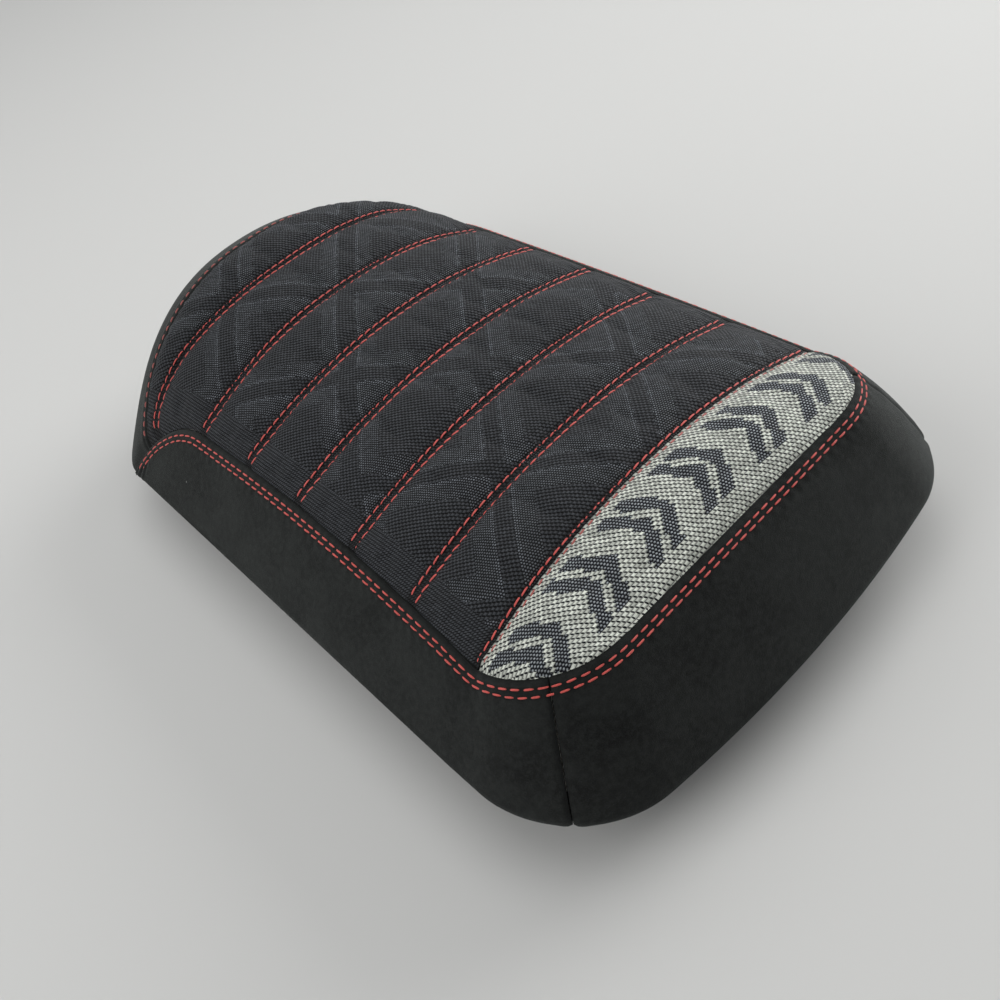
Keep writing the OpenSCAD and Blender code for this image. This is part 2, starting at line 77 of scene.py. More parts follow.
# Shares of the nose row: its first seam, then the seam where suede takes over, with the gap left there.
NOSE_PAD_SHARE = 0.31
ROW_2 = 0.25
ROW_1 = ROW_2 + (1 - ROW_2) * NOSE_PAD_SHARE
NOSE_LAP = 0.004
LAST_SEAM = CHANNELS * PITCH
CORNER_Y = SIDE_DROP_START + SIDE_DROP
NOSE_END = NOSE_START + SEAM_BOW + NOSE_ROLL
TAIL_Y = -BASE_TAIL - BASE_TAIL_BOW
Y_MID = (NOSE_END + TAIL_Y) / 2
Z_BASE = 27.0
CORNER_SEAM = 0.5
STITCH, CHANNEL_STITCH = 5.0, 4.66
STUD_X, STUD_Y, STUD_REACH, STUD_RADIUS, STUD_SHOULDER, STUD_HEAD = 110.0, 140.0, 27.0, 4.0, 4.6, 9.0
STRAP_UNDER, HEAD_UNDER, HEAD_TOP = 2.8, 6.7, 8.7
THREAD_PITCH, THREAD_DEPTH = 1.25, 0.61

# How the scene dresses it, in millimetres. The seams close up more than the solids do.
SEAM_GAP = 0.35
COLUMN_HALF = 94.0
CLOTH_LIFT, SUEDE_LIFT = 0.25, 0.2
TUCK = 3.0
TWIN = 1.9
ROW_IN, ROW_OUT = 3.2, 5.7
LOWEST_STITCH = 1.2

# The short simulation that presses the cloth out between its seams.
SETTLE_FRAMES = 10
SETTLE_CAP = 0.8
SETTLE_PRESSURE = 4
SETTLE_EDGE = 4

# The photograph's camera: yaw, pitch and roll in degrees, place in metres, lens in widths of the sensor.
CAMERA_ANGLES = (-33.276, 47.329, -15.479)
CAMERA_PLACE = (-0.18184, -0.28831, 0.34723)
CAMERA_LENS, SENSOR = 0.99544, 36.0
SEAT_MIDDLE = (0, 0, 0.05)
FLOOR_HALF = 4.0


# ---------------------------------------------------------------- form of the seat

def through(y, v):
    """The parabola through three values at the rear, the middle and the front channel seam."""
    a, b, c = v
    return (a * (y - SPAN) * (y - 2 * SPAN) / (2 * SPAN**2) - b * y * (y - 2 * SPAN) / SPAN**2
            + c * y * (y - SPAN) / (2 * SPAN**2))


def top_half(y):
    return through(y, TOP_HALF)


def seam_z(y):
    return through(y, SEAM_Z)


def crown(y):
    return through(y, CROWN)


def mix(a, b, f):
    return a + (b - a) * f


def quarter(y0, z0, length, power, steps=24):
    """A quarter of a rounded oblong, from the level top at y0 down to z = 0."""
    a = np.radians(90 * np.arange(steps + 1) / steps)
    return np.stack([y0 + length * np.sin(a) ** (2 / power), z0 * np.maximum(np.cos(a), 0) ** (2 / power)], 1)


def lengths(p):
    """The run along a line up to each of its points."""
    return np.concatenate([[0], np.cumsum(np.linalg.norm(np.diff(p, axis=0), axis=1))])


lead = np.array([mix(LAST_SEAM, NOSE_START, i / 6) for i in range(6)])
crown_line = np.concatenate([
    np.stack([lead + SEAM_BOW, seam_z(lead) + crown(lead)], 1),
    quarter(NOSE_START + SEAM_BOW, seam_z(NOSE_START) + crown(NOSE_START), NOSE_ROLL, NOSE_POWER)])
side_line = np.concatenate([
    [[LAST_SEAM - 0.01, seam_z(LAST_SEAM)]],
    quarter(SIDE_DROP_START, seam_z(SIDE_DROP_START), SIDE_DROP, SIDE_POWER)])
crown_run, side_run = lengths(crown_line), lengths(side_line)
CROWN_LENGTH, SIDE_LENGTH = crown_run[-1], side_run[-1]


def nose_length(s):
    return mix(CROWN_LENGTH, SIDE_LENGTH, s * s)


def nose_run(f, s):
    return np.where(f < ROW_2, PITCH * f / ROW_2, mix(PITCH, nose_length(s), (f - ROW_2) / (1 - ROW_2)))


def plan_fall(s):
    return 1 - np.maximum(1 - np.abs(s) ** PLAN_POWER, 0) ** PLAN_ROUND


def base_half(y):
    return mix(BASE_HALF_REAR, BASE_HALF_FRONT, np.clip(y / CORNER_Y, 0, 1))


def seat_point(row, s):
    """The seam surface: rows -1 to 0 the band, 0 to 5 the channels, 5 to 6 the nose; s runs from -1 to 1."""
    row, s = np.broadcast_arrays(np.asarray(row, float), np.asarray(s, float))
    r = np.clip(row, -1, 0)
    c = -np.sin(np.pi / 2 * r)
    half = top_half(0.0) - BAND_DEPTH + BAND_DEPTH * np.cos(np.pi / 2 * r)
    edge = seam_z(0.0) + TAIL_RISE * c
    ridge = seam_z(0.0) + TAIL_RISE + (crown(0.0) - TAIL_RISE) * (1 - c**CROWN_POWER)
    band = np.stack([half * s, -BAND_DEPTH * c + SEAM_BOW * (1 - s * s) * (1 - c),
                     mix(ridge, edge, np.abs(s) ** CROWN_POWER)], -1)
    y = np.clip(row, 0, CHANNELS) * PITCH
    channel = np.stack([top_half(y) * s, y + SEAM_BOW * (1 - s * s),
                        seam_z(y) + crown(y) * (1 - np.abs(s) ** CROWN_POWER)], -1)
    f = np.clip(row - CHANNELS, 0, 1)
    u = nose_run(f, s) / nose_length(s)
    low_y = np.interp(u * SIDE_LENGTH, side_run, side_line[:, 0])
    low_z = np.interp(u * SIDE_LENGTH, side_run, side_line[:, 1])
    high_y = np.interp(u * CROWN_LENGTH, crown_run, crown_line[:, 0])
    high_z = np.interp(u * CROWN_LENGTH, crown_run, crown_line[:, 1])
    nose = np.stack([mix(top_half(LAST_SEAM), base_half(CORNER_Y), u * u) * s,
                     mix(high_y, low_y, plan_fall(s)), mix(high_z, low_z, np.abs(s) ** CROWN_POWER)], -1)
    return np.where((row < 0)[..., None], band, np.where((row <= CHANNELS)[..., None], channel, nose))


def base_point(row, s):
    """The base edge under a row and column."""
    r, side = BASE_CORNER, (-1.0 if s < 0 else 1.0)
    flat = BASE_HALF_REAR - r
    if row <= -1:
        return np.array([flat * s, -BASE_TAIL - BASE_TAIL_BOW * (1 - (flat * s / BASE_HALF_REAR) ** 2), 0])
    if row < 0:
        x = flat + r * math.cos(math.pi / 2 * row)
        return np.array([side * x, -BASE_TAIL + r * (1 + math.sin(math.pi / 2 * row))
                         - BASE_TAIL_BOW * (1 - (x / BASE_HALF_REAR) ** 2), 0])
    y = mix(r - BASE_TAIL, CORNER_Y, min(max(float(seat_point(row, s)[1]) / CORNER_Y, 0), 1))
    return np.array([side * base_half(y), y, 0])


def inward(row, s):
    """The level direction from the base edge towards the seat's middle."""
    if row <= -1:
        return np.array([0.0, 1.0, 0.0])
    if row < 0:
        return np.array([-np.sign(s) * math.cos(math.pi / 2 * row), -math.sin(math.pi / 2 * row), 0.0])
    return np.array([-np.sign(s), 0.0, 0.0])


def wall_section(row, s, down, roll, hem):
    """A line down the side panel's outer face: the wall, the rolled edge and the hem under the pan."""
    n = inward(row, s)
    e = seat_point(row, s) - n * SEAM_GAP
    b0 = base_point(row, s)
    b = b0 + [0, 0, min(EDGE_ROLL, e[2] * 0.5)]
    d = b - e
    out = math.hypot(d[0], d[1])
    h = np.array([d[0], d[1], 0]) / max(out, 0.001)
    lift = WALL_SWELL * min(np.linalg.norm(d) / (SEAM_Z[0] + TAIL_RISE), 1)
    k = e + d * SWELL_PLACE + (h * SWELL_OUT + np.array([0, 0, SWELL_UP])) * lift
    v = np.linspace(0, 1, down + 1)[:, None]
    wall = e * (1 - v) ** 2 + k * 2 * v * (1 - v) + b * v**2
    a = np.radians(90 * np.arange(1, roll + 1) / roll)[:, None]
    edge = b + n * b[2] * (1 - np.cos(a)) - np.array([0, 0, 1.0]) * b[2] * np.sin(a)
    q = (np.arange(1, hem + 1) / hem)[:, None]
    under = edge[-1] + (b + n * HEM - [0, 0, b[2]] - edge[-1]) * q
    return np.concatenate([wall, edge, under])


def normals(g):
    """The normals of a grid; the corners of its first rows take the normal a few points further in."""
    a = np.zeros_like(g)
    b = np.zeros_like(g)
    a[1:-1], a[0], a[-1] = g[2:] - g[:-2], g[1] - g[0], g[-1] - g[-2]
    b[:, 1:-1], b[:, 0], b[:, -1] = g[:, 2:] - g[:, :-2], g[:, 1] - g[:, 0], g[:, -1] - g[:, -2]
    c = np.cross(b, a)
    c = c / np.maximum(np.linalg.norm(c, axis=-1, keepdims=True), 1e-6)
    for i, j, rows, columns in ((3, 3, slice(0, 3), slice(0, 3)), (3, -4, slice(0, 3), slice(-3, None))):
        c[rows, columns] = c[i, j]
    return c


def bump(f):
    """The swell of a pad between two seams, 0 at both and 1 in the middle."""
    return 1 - np.abs(2 * f - 1) ** PAD_POWER


def bell(x, width):
    return np.exp(-((x / width) ** 2))


# ---------------------------------------------------------------- meshes

def world(p):
    """From the source's millimetres to the frame's metres."""
    return (np.asarray(p) + [0, -Y_MID, Z_BASE]) * 0.001


def add_object(name, data):
    obj = bpy.data.objects.new(name, data)
    bpy.context.scene.collection.objects.link(obj)
    return obj


def add_mesh(name, points, faces, material, cloth=None, shade_and_edge=None):
    mesh = bpy.data.meshes.new(name)
    mesh.from_pydata(world(points).tolist(), [], faces)
    for key, values in (("cloth", cloth), ("shade_and_edge", shade_and_edge)):
        if values is not None:
            mesh.attributes.new(key, "FLOAT_VECTOR", "POINT").data.foreach_set("vector", np.ravel(values))
    mesh.polygons.foreach_set("use_smooth", [True] * len(mesh.polygons))
    mesh.set_sharp_from_angle(angle=math.radians(55))
    mesh.materials.append(material)
    mesh.update()
    piece = add_object(name, mesh)
    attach(piece, "root")
    return piece


def quads(n, m):
    """The faces of a grid of n by m points."""
    i, j = np.meshgrid(np.arange(n - 1), np.arange(m - 1), indexing="ij")
    a = (i * m + j).ravel()
    return np.stack([a, a + 1, a + m + 1, a + m], 1).tolist()


def with_rim(g, thickness):
    """Adds a turned edge round a grid, so that the cloth shows its thickness and tucks under."""
    low = g - normals(g) * np.broadcast_to(thickness, g.shape[:2])[..., None]

    def inside(edge, within):
        step = within - edge
        size = np.maximum(np.linalg.norm(step, axis=-1, keepdims=True), 1e-6)
        return edge + step * np.minimum(TUCK / size, 1)

    j = np.clip(np.arange(g.shape[1]), 5, g.shape[1] - 6)
    first, last = inside(low[0], low[4, j])[None], inside(low[-1], low[-5, j])[None]
    under = np.concatenate([first, low[:1], low, low[-1:], last])
    full = np.concatenate([under[:2], g, under[-2:]])
    i = np.clip(np.arange(len(under)), 7, len(under) - 8)
    left, right = inside(under[:, 0], under[i, 4])[:, None], inside(under[:, -1], under[i, -5])[:, None]
    return np.concatenate([left, under[:, :1], full, under[:, -1:], right], 1)


def sheet_piece(name, grid, material, thickness, cloth, shade_and_edge=None):
    """A cover panel from a grid, with its own fabric coordinates, painted seam shade and edge numbers."""
    full = with_rim(grid, thickness)
    n, m = full.shape[:2]
    coords = [np.zeros((n, m, 3)), np.zeros((n, m, 3))]
    for target, values in zip(coords, (cloth, shade_and_edge)):
        if values is not None:
            target[..., :2] = np.pad(values, [(2, 2), (2, 2), (0, 0)], mode="edge")
    return add_mesh(name, full.reshape(-1, 3), quads(n, m), material, *(c.reshape(-1, 3) for c in coords))


def spaced(length, fine, coarse, reach):
    """Positions from 0 to length, fine near both ends and coarse between."""
    near = np.arange(0, reach, fine)
    far = np.linspace(reach, length - reach, max(int((length - 2 * reach) / coarse), 2) + 1)
    return np.concatenate([near, far, length - near[::-1]])


def cloth_coords(g):
    """The fabric's coordinates in millimetres: across the seat, and along it over the swell."""
    d = np.linalg.norm(np.diff(g[..., 1:], axis=0), axis=-1)
    v = np.concatenate([np.zeros((1, g.shape[1])), np.cumsum(d, axis=0)])
    return np.stack([g[..., 0], v + g[0, :, 1][None]], -1)


column_u = spaced(2 * COLUMN_HALF, 0.7, 1.25, 8.0) / COLUMN_HALF - 1
ripple = rng.uniform(0, 2 * math.pi, (12, 3))


def wander(row, u, scale=1.0):
    """Slow unevenness of stuffed fabric, a few tenths of a millimetre."""
    k = np.clip(np.floor(row).astype(int) + 1, 0, 11)
    total = 0
    for i, (wave, size) in enumerate(((61.0, 0.22), (27.0, 0.16), (13.0, 0.10))):
        total = total + size * np.sin(2 * math.pi * u / wave + ripple[k, i])
    return total * scale


def seam_profile(d, u, pitch):
    """Relief beside a twin-stitched seam, d millimetres from its middle."""
    valley = -0.55 * bell(d - TWIN, 0.9) - 0.45 * bell(d, 1.3)
    pucker = 0.34 * np.cos(2 * math.pi * u / pitch) * np.exp(-np.maximum(d - TWIN, 0) / 2.6)
    return valley + pucker * (d > TWIN * 0.6)


def seam_shade(d):
    """The painted shade in the valley of a twin-stitched seam, d millimetres from its middle."""
    return bell(np.maximum(d - TWIN, 0), 1.1)


def edge_dive(e):
    """Cloth turning down into the side seam, e millimetres from it."""
    return -1.0 * bell(e, 1.3) + 0.30 * bell(e - 5, 3)


# ---------------------------------------------------------------- materials

class Value:
    """A socket that builds Math nodes through Python's operators."""

    def __init__(self, graph, socket):
        self.graph, self.socket = graph, socket

    def op(self, kind, *others):
        node = self.graph.node("ShaderNodeMath", operation=kind)
        for i, x in enumerate((self,) + others):
            self.graph.put(x, node.inputs[i])
        return Value(self.graph, node.outputs[0])

    def __add__(self, o):
        return self.op("ADD", o)

    __radd__ = __add__

    def __sub__(self, o):
        return self.op("SUBTRACT", o)

    def __rsub__(self, o):
        return (self * -1) + o

    def __mul__(self, o):
        return self.op("MULTIPLY", o)

    __rmul__ = __mul__

    def __truediv__(self, o):
        return self.op("DIVIDE", o)

    def floor(self):
        return self.op("FLOOR")

    def fract(self):
        return self.op("FRACT")

    def abs(self):
        return self.op("ABSOLUTE")

    def sin(self):
        return self.op("SINE")

    def power(self, n):
        return self.op("POWER", n)

    def less(self, o):
        return self.op("LESS_THAN", o)

    def min(self, o):
        return self.op("MINIMUM", o)

    def max(self, o):
        return self.op("MAXIMUM", o)

    def clip(self):
        node = self.graph.node("ShaderNodeClamp")
        self.graph.put(self, node.inputs[0])
        return Value(self.graph, node.outputs[0])

    def ramp(self, low, high, a=0.0, b=1.0):
        node = self.graph.node("ShaderNodeMapRange", interpolation_type="SMOOTHSTEP")
        for i, x in enumerate((self, low, high, a, b)):
            self.graph.put(x, node.inputs[i])
        return Value(self.graph, node.outputs[0])


class Graph:
    """A material's node tree with one Principled shader."""

    def __init__(self, name):
        self.mat = bpy.data.materials.new(name)
        self.mat.use_nodes = True
        self.tree = self.mat.node_tree
        self.tree.nodes.clear()
        out = self.node("ShaderNodeOutputMaterial")
        self.shader = self.node("ShaderNodeBsdfPrincipled")
        self.tree.links.new(self.shader.outputs[0], out.inputs[0])

    def node(self, kind, **props):
        node = self.tree.nodes.new(kind)
        for key, value in props.items():
            setattr(node, key, value)
        return node

    def put(self, value, socket):
        if isinstance(value, Value):
            self.tree.links.new(value.socket, socket)
        elif isinstance(value, bpy.types.NodeSocket):
            self.tree.links.new(value, socket)
        else:
            socket.default_value = value

    def set(self, **values):
        for key, value in values.items():
            self.put(value, self.shader.inputs[key.replace("_", " ").title().replace("Ior", "IOR")])

    def attribute(self, name):
        """The first two numbers of a mesh attribute, and the whole of it as a vector."""
        attr = self.node("ShaderNodeAttribute", attribute_name=name, attribute_type="GEOMETRY")
        split = self.node("ShaderNodeSeparateXYZ")
        self.tree.links.new(attr.outputs["Vector"], split.inputs[0])
        return Value(self, split.outputs[0]), Value(self, split.outputs[1]), attr.outputs["Vector"]

    def cloth(self):
        """The fabric's own coordinates in millimetres: across the seat and along it."""
        return self.attribute("cloth")

    def shade_and_edge(self):
        """How deep a point lies in a seam's valley, painted there as shade, then its distance from the edge
        or, on suede, its rub.
        """
        return self.attribute("shade_and_edge")[:2]

    def place(self):
        return self.node("ShaderNodeTexCoord").outputs["Object"]

    def noise(self, vector, scale, detail=2.0, rough=0.5):
        node = self.node("ShaderNodeTexNoise")
        self.put(vector, node.inputs["Vector"])
        node.inputs["Scale"].default_value = scale
        node.inputs["Detail"].default_value = detail
        node.inputs["Roughness"].default_value = rough
        return Value(self, node.outputs["Fac"])

    def cells(self, vector, scale, output="Distance"):
        node = self.node("ShaderNodeTexVoronoi")
        self.put(vector, node.inputs["Vector"])
        node.inputs["Scale"].default_value = scale
        return Value(self, node.outputs[output])

    def scatter(self, a, b):
        """A random value for each pair of whole numbers."""
        join = self.node("ShaderNodeCombineXYZ")
        self.put(a, join.inputs[0])
        self.put(b, join.inputs[1])
        node = self.node("ShaderNodeTexWhiteNoise", noise_dimensions="2D")
        self.put(join.outputs[0], node.inputs["Vector"])
        return Value(self, node.outputs["Value"])

    def stretched(self, vector, scale):
        node = self.node("ShaderNodeMapping")
        self.put(vector, node.inputs["Vector"])
        node.inputs["Scale"].default_value = scale
        return node.outputs[0]

    def blend(self, f, a, b):
        node = self.node("ShaderNodeMix", data_type="RGBA")
        self.put(f, node.inputs[0])
        for value, socket in ((a, node.inputs[6]), (b, node.inputs[7])):
            self.put(value if not isinstance(value, tuple) else (*value[:3], 1.0), socket)
        return node.outputs[2]

    def shade(self, colour, factor):
        """A colour times a factor."""
        grey = self.node("ShaderNodeCombineColor")
        for i in range(3):
            self.put(factor, grey.inputs[i])
        node = self.node("ShaderNodeMix", data_type="RGBA", blend_type="MULTIPLY")
        node.inputs[0].default_value = 1.0
        self.put(colour, node.inputs[6])
        self.put(grey.outputs[0], node.inputs[7])
        return node.outputs[2]

    def bump(self, height, distance, strength=1.0, normal=None):
        node = self.node("ShaderNodeBump")
        self.put(height, node.inputs["Height"])
        node.inputs["Distance"].default_value = distance
        node.inputs["Strength"].default_value = strength
        if normal is not None:
            self.put(normal, node.inputs["Normal"])
        return node.outputs[0]


def woven(name, yarn, gap, motif_yarn, motif_gap, cell, hole, depth, motif, selvedge=0.0):
    """A jacquard: rows of long floats with dark holes at their ends, in the motif a twill of small dots."""
    g = Graph(name)
    u, v, vector = g.cloth()
    seam, edge = g.shade_and_edge()
    across, along = cell
    wobble = g.noise(vector, 0.35, 2.0) - 0.5
    uu, vv = u + wobble * 0.45, v + wobble * 0.35
    row = (vv / along).floor()
    fy = (vv / along).fract() - 0.5
    near_edge = edge.less(wobble * 5.0 + selvedge)
    shift = (row * 0.5).fract() * (1 - near_edge)
    width = across - near_edge * across * 0.34
    x = uu / width + shift + fy * (0.30 + near_edge * 0.25)
    end = 0.5 - (x.fract() - 0.5).abs()
    ridge = 1 - (fy.abs() * 2).power(2.6)
    reach = hole[0] - near_edge * 0.03
    gap_here = (1 - (end / reach).power(2.0) - (fy.abs() / hole[1]).power(2.0)).ramp(0.0, 0.40)
    strand = (fy * 19.0 + end * 3.0).sin() * 0.10 + 0.90
    brick = (ridge * depth + (1 - depth)) * (1 - gap_here) * strand
    dot_v, dot_u = along * 0.78, across * 0.62
    dot_row = (vv / dot_v).floor()
    dy = (vv / dot_v).fract() - 0.5
    dx = (uu / dot_u + dot_row * 0.36).fract() - 0.5
    dots = (1 - (dx.abs() / 0.36).power(2.0) - (dy.abs() / 0.42).power(2.0)).clip().power(0.6)
    inside, glint = motif(((uu / across + shift).floor() - shift) * across, row * along)
    inside = inside * (1 - near_edge)
    height = brick * (1 - inside) + dots * inside
    # The motif's second number, glint, is a painted highlight that brightens the tone.
    tone = (g.noise(g.stretched(vector, (0.5, 2.6, 1.0)), 0.8, 2.0) * 0.7 + 0.65) * (glint * inside + 1)
    tone = tone * (g.scatter(x.floor(), row) * 0.5 + 0.75)
    colour = g.blend(inside, g.blend(brick, gap, yarn), g.blend(dots, motif_gap, motif_yarn))
    # The cloth is darker in the seams' valleys: painted shade.
    g.set(base_color=g.shade(colour, tone * (1 - seam * 0.72)), roughness=0.92 - height * 0.34)
    g.set(specular_ior_level=0.3, sheen_weight=0.02, sheen_roughness=0.4)
    g.set(normal=g.bump(height, 0.0007, 1.0))
    return g.mat


def band_motif(u, v):
    """Dark paired chevrons on the pale band."""
    w = (v + 19.0).abs()
    phase = ((u + w * 0.7) / 29.0).fract()
    strokes = phase.less(0.21) + (phase - 0.44).abs().less(0.105)
    return strokes.min(1.0) * w.less(13.5), 0.0


def top_motif(u, v):
    """Large tone-on-tone lattice of broad lozenges, with a painted highlight along the outer edge of each
    stroke.
    """
    a = ((u + v * 0.8) / 74.0).fract() - 0.5
    b = ((u - v * 0.8) / 74.0).fract() - 0.5
    reach = a.abs().max(b.abs())
    return (reach - 0.36).abs().less(0.07), (reach - 0.425).abs().less(0.018) * 0.6


def suede_material():
    """Suede with soft clouds, brushed tufts, rubbed edges, a trace of lint and painted shade in its seam
    grooves.
    """
    g = Graph("suede")
    p = g.place()
    nap = g.noise(p, 55.0, 3.0)
    cloud = g.noise(p, 17.0, 2.0)
    grain = g.noise(p, 2600.0, 2.0, 0.7)
    f = (nap * 0.55 + cloud * 0.45).ramp(0.38, 0.62)
    base = g.blend(f, (0.0026, 0.0029, 0.0028), (0.0108, 0.0119, 0.0113))
    tuft = g.noise(p, 420.0, 3.0, 0.65)
    speck_cell = g.cells(p, 260.0, output="Color")
    spot = g.cells(p, 260.0)
    speck = speck_cell.less(0.035) * spot.less(0.12)
    groove, rub = g.shade_and_edge()
    fibre = grain.ramp(0.40, 0.75) * 0.36 + tuft.ramp(0.35, 0.70) * 0.36 + rub * 0.12
    # Darker along the seam grooves and stitch rows: painted shade.
    colour = g.shade(g.blend(fibre, base, (0.026, 0.0285, 0.027)), 1 - groove * 0.7)
    g.set(base_color=g.blend(speck * 0.3, colour, (0.42, 0.43, 0.43)), roughness=0.92)
    g.set(specular_ior_level=0.18)
    g.set(sheen_weight=0.18, sheen_roughness=0.45, sheen_tint=(0.75, 0.80, 0.77, 1.0))
    first = g.bump(nap, 0.0012, 0.25)
    g.set(normal=g.bump(grain, 0.00025, 0.8, first))
    return g.mat


def thread_material(name, colour, dark):
    """Twisted thread; its cloth coordinates run along it and once round it."""
    g = Graph(name)
    u, v, _ = g.cloth()
    twist = ((u * 2.2 + v * 1.0) * 6.2832).sin() * 0.5 + 0.5
    fuzz = g.noise(g.place(), 3500.0, 2.0)
    g.set(base_color=g.blend((twist * 0.7 + fuzz * 0.3).clip(), dark, colour), roughness=0.55)
    g.set(sheen_weight=0.2)
    g.set(normal=g.bump(twist, 0.00018, 0.7))
    return g.mat


def foam_material(name, light, dark, scale):
    g = Graph(name)
    p = g.place()
    pore = g.cells(p, scale)
    g.set(base_color=g.blend(pore.ramp(0.1, 0.6), dark, light), roughness=0.95)
    g.set(normal=g.bump(pore, 0.0006, 0.8))
    return g.mat


def plastic_material(name, colour, scale=900.0, rough=0.55):
    g = Graph(name)
    p = g.place()
    grain = g.noise(p, scale, 3.0, 0.6)
    scuff = g.noise(g.stretched(p, (1.0, 6.0, 1.0)), 40.0, 4.0, 0.7)
    pale = tuple(c * 1.9 + 0.004 for c in colour)
    g.set(base_color=g.blend(scuff.ramp(0.52, 0.8), colour, pale), roughness=grain * 0.25 + rough - 0.1)
    g.set(normal=g.bump(grain, 0.0002, 0.5))
    return g.mat


def metal_material(name, colour, rough=0.32, stretch=(1.0, 14.0, 1.0)):
    g = Graph(name)
    p = g.place()
    brushed = g.noise(g.stretched(p, stretch), 420.0, 3.0, 0.6)
    stain = g.noise(p, 60.0, 3.0)
    warm = (colour[0] * 0.92, colour[1] * 0.88, colour[2] * 0.78)
    g.set(base_color=g.blend(stain.ramp(0.45, 0.75), colour, warm), roughness=brushed * 0.22 + rough - 0.1)
    g.set(metallic=1.0)
    g.set(normal=g.bump(brushed, 0.00008, 0.5))
    return g.mat


top_cloth = woven("woven_top", yarn=(0.053, 0.058, 0.066), gap=(0.0012, 0.0013, 0.0019),
                  motif_yarn=(0.128, 0.140, 0.155), motif_gap=(0.0030, 0.0033, 0.0042),
                  cell=(1.85, 1.15), hole=(0.26, 0.52), depth=0.95, motif=top_motif, selvedge=13.0)
band_cloth = woven("woven_band", yarn=(0.80, 0.83, 0.74), gap=(0.005, 0.006, 0.009),
                   motif_yarn=(0.36, 0.39, 0.41), motif_gap=(0.004, 0.005, 0.008),
                   cell=(2.3, 1.25), hole=(0.19, 0.48), depth=0.74, motif=band_motif)
suede = suede_material()
red_thread = thread_material("red_thread", colour=(0.84, 0.130, 0.105), dark=(0.50, 0.045, 0.036))
# A darker copy of the red thread: painted shade for the stitches sunk in the band's and nose's seams.
shaded_red_thread = thread_material("shaded_red_thread", colour=(0.55, 0.14, 0.12), dark=(0.30, 0.06, 0.05))
core_foam = foam_material("foam", light=(0.78, 0.76, 0.70), dark=(0.50, 0.48, 0.43), scale=900.0)
sheet_foam = foam_material("sewing_foam", light=(0.74, 0.71, 0.62), dark=(0.46, 0.43, 0.36), scale=1400.0)
pan_plastic = plastic_material("pan_plastic", (0.020, 0.020, 0.022))
zinc = metal_material("zinc_steel", (0.58, 0.59, 0.61))
rivet_metal = metal_material("rivet_aluminium", (0.64, 0.65, 0.66), rough=0.38, stretch=(6.0, 6.0, 1.0))
rubber = plastic_material("buffer_rubber", (0.018, 0.018, 0.018), scale=1500.0, rough=0.75)
wire = metal_material("staple_steel", (0.60, 0.60, 0.62), rough=0.30)


# ---------------------------------------------------------------- woven top, band and nose

def held_points(shade_and_edge, valley):
    """The points that the simulation holds: the seams' valleys and a strip along the edges."""
    return (shade_and_edge[..., 0] > valley) | (shade_and_edge[..., 1] < SETTLE_EDGE)


def settled(g, up, held, slack):
    """How far cloth between held seams moves when it is pressed out, from a short capped simulation."""
    i, j = (np.append(np.arange(0, size - 1, 2), size - 1) for size in g.shape[:2])
    start = g[np.ix_(i, j)]
    mesh = bpy.data.meshes.new("trial")
    mesh.from_pydata(world(start.reshape(-1, 3)).tolist(), [], quads(len(i), len(j)))
    sheet = add_object("trial", mesh)
    pins = sheet.vertex_groups.new(name="held")
    pins.add(np.flatnonzero(held[np.ix_(i, j)]).tolist(), 1.0, "REPLACE")
    cloth = sheet.modifiers.new("cloth", "CLOTH")
    cloth.point_cache.frame_end = SETTLE_FRAMES
    cloth.collision_settings.use_collision = False
    rule = cloth.settings
    rule.quality = 6
    rule.bending_stiffness = 0.5
    rule.vertex_group_mass = "held"
    rule.use_pressure = True
    rule.uniform_pressure_force = SETTLE_PRESSURE
    rule.shrink_min = -slack
    rule.effector_weights.gravity = 0
    for frame_number in range(1, SETTLE_FRAMES + 1):
        bpy.context.scene.frame_set(frame_number)
    end = np.empty(start.size)
    sheet.evaluated_get(bpy.context.evaluated_depsgraph_get()).data.vertices.foreach_get("co", end)
    bpy.context.scene.frame_set(1)
    bpy.data.objects.remove(sheet)
    bpy.data.meshes.remove(mesh)
    move = ((end.reshape(start.shape) - world(start)) * 1000 * up[np.ix_(i, j)]).sum(-1)
    move = SETTLE_CAP * np.tanh(move / SETTLE_CAP)
    columns, rows = np.arange(g.shape[1]), np.arange(g.shape[0])
    move = np.stack([np.interp(columns, j, line) for line in move])
    return np.stack([np.interp(rows, i, line) for line in move.T], 1)


def woven_top():
    """The channelled top: its seam surface, normals, relief, rows, and its painted seam shade with the
    distance from the edge.
    """
    v = spaced(PITCH, 0.6, 1.35, 6.0)
    inner = v[1:] / PITCH
    rows = [0.0]
    for k in range(CHANNELS):
        rows += list(k + inner)
    rows += list(CHANNELS + ROW_2 * inner)
    rows += list(CHANNELS + mix(ROW_2, ROW_1, inner))
    row = np.array(rows)[:, None]
    s = column_u[None]
    g = seat_point(row, s)
    half = np.abs(g[:, -1:, 0])
    f = np.where(row <= CHANNELS, row - np.floor(row),
                 np.where(row - CHANNELS <= ROW_2, (row - CHANNELS) / ROW_2,
                          (row - CHANNELS - ROW_2) / (ROW_1 - ROW_2)))
    width = np.where(row - CHANNELS <= ROW_2, PITCH, (nose_length(s) - PITCH) * NOSE_PAD_SHARE)
    d = np.minimum(f, 1 - f) * width
    u = half * s
    edge = 1 - np.abs(s) ** PAD_FADE
    e = half * (1 - np.abs(s))
    h = edge * (PAD * bump(f) + wander(row, u) * bump(f))
    h = h + seam_profile(d, u, CHANNEL_STITCH) * (0.4 + 0.6 * edge)
    # Painted shade in the seams' valleys, then the distance from the side edge.
    return g, normals(g), h + edge_dive(e) + CLOTH_LIFT, rows, np.stack([seam_shade(d), e + 0 * d], -1)


